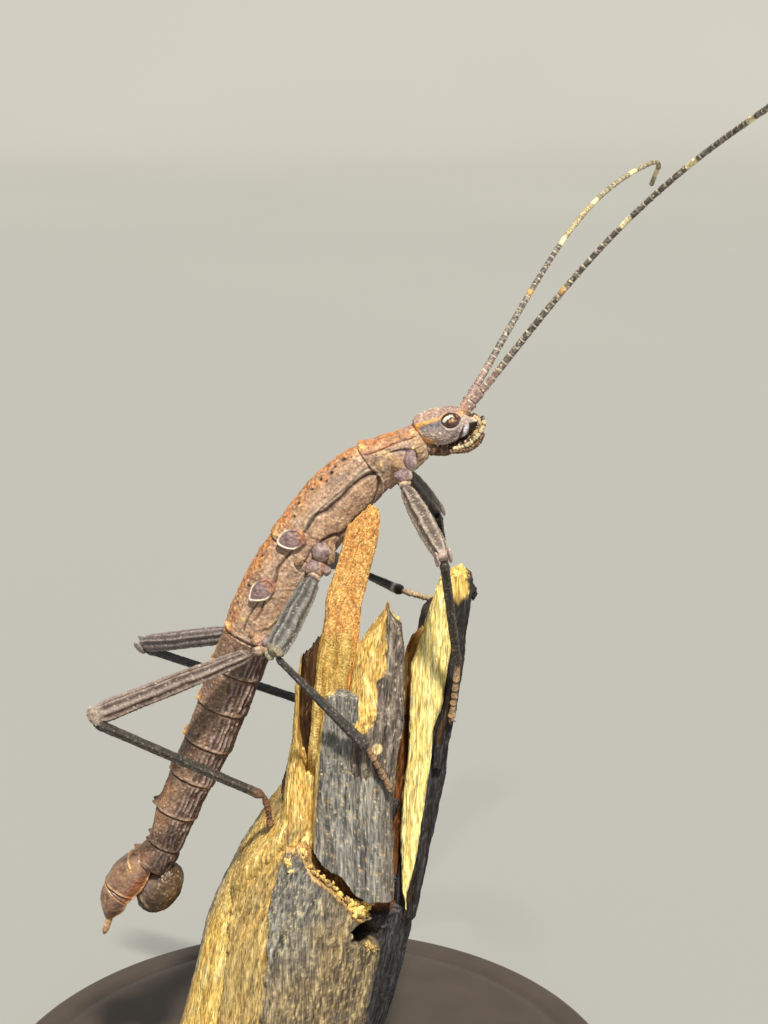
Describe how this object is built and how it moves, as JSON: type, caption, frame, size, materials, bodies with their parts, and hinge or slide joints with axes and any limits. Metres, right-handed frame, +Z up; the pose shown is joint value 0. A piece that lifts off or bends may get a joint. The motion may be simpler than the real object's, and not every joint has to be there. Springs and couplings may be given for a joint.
{
  "type": "stick insect",
  "caption": "Life-size still model of a brown male stick insect with small wing stubs, clinging to the splintered end of a broken branch on a plain round stand.",
  "frame": {"origin": "centre of the underside of the stand's round base", "axes": "+Z up, +X towards the side the insect's head faces, +Y towards the insect's left side"},
  "size_m": [0.0634, 0.0616, 0.0936],
  "materials": {
    "abdomen": "rough speckled brown cuticle with lengthwise ridges",
    "antenna": "dark grey with pale rings",
    "eye": "glossy speckled brown",
    "femur": "mauve-grey, granular, with pale ridges",
    "head": "granular mauve-grey cuticle with an ochre stripe",
    "hind_end": "satin red-brown cuticle",
    "mouth": "cream-yellow, rough",
    "stand_base": "satin black acrylic",
    "stand_rod": "satin steel rod",
    "tarsus": "pale tan",
    "tibia": "dark slate, ridged",
    "trunk": "rough bark-like cuticle, orange-brown above and mauve-brown on the sides",
    "wing": "lilac with a cream rim",
    "wood": "weathered split wood, yellow and grey, fibrous"
  },
  "bodies": {
    "root": {"abdomen_2": "abdomen", "abdomen_3": "abdomen", "abdomen_4": "abdomen", "abdomen_5": "abdomen", "abdomen_6": "abdomen", "abdomen_7": "abdomen", "abdomen_8": "abdomen", "antenna_left": "antenna", "antenna_right": "antenna", "cercus_left": "hind_end", "cercus_right": "hind_end", "eye_left": "eye", "eye_right": "eye", "fore_left_coxa": "femur", "fore_left_femur": "femur", "fore_left_tarsus": "tarsus", "fore_left_tibia": "tibia", "fore_right_coxa": "femur", "fore_right_femur": "femur", "fore_right_tarsus": "tarsus", "fore_right_tibia": "tibia", "forewing_stub_left": "wing", "forewing_stub_right": "wing", "head": "head", "hind_left_coxa": "femur", "hind_left_femur": "femur", "hind_left_tarsus": "tarsus", "hind_left_tibia": "tibia", "hind_right_coxa": "femur", "hind_right_femur": "femur", "hind_right_tarsus": "tarsus", "hind_right_tibia": "tibia", "hindwing_stub_left": "wing", "hindwing_stub_right": "wing", "mesothorax": "trunk", "metathorax": "trunk", "mid_left_coxa": "femur", "mid_left_femur": "femur", "mid_left_tarsus": "tarsus", "mid_left_tibia": "tibia", "mid_right_coxa": "femur", "mid_right_femur": "femur", "mid_right_tarsus": "tarsus", "mid_right_tibia": "tibia", "mouthparts": "mouth", "palp_left": "mouth", "palp_right": "mouth", "perch": "wood", "poculum": "hind_end", "prothorax": "trunk", "stand_base": "stand_base", "stand_rod": "stand_rod", "tergum_10": "hind_end", "tergum_9": "hind_end"}
  },
  "joints": []
}
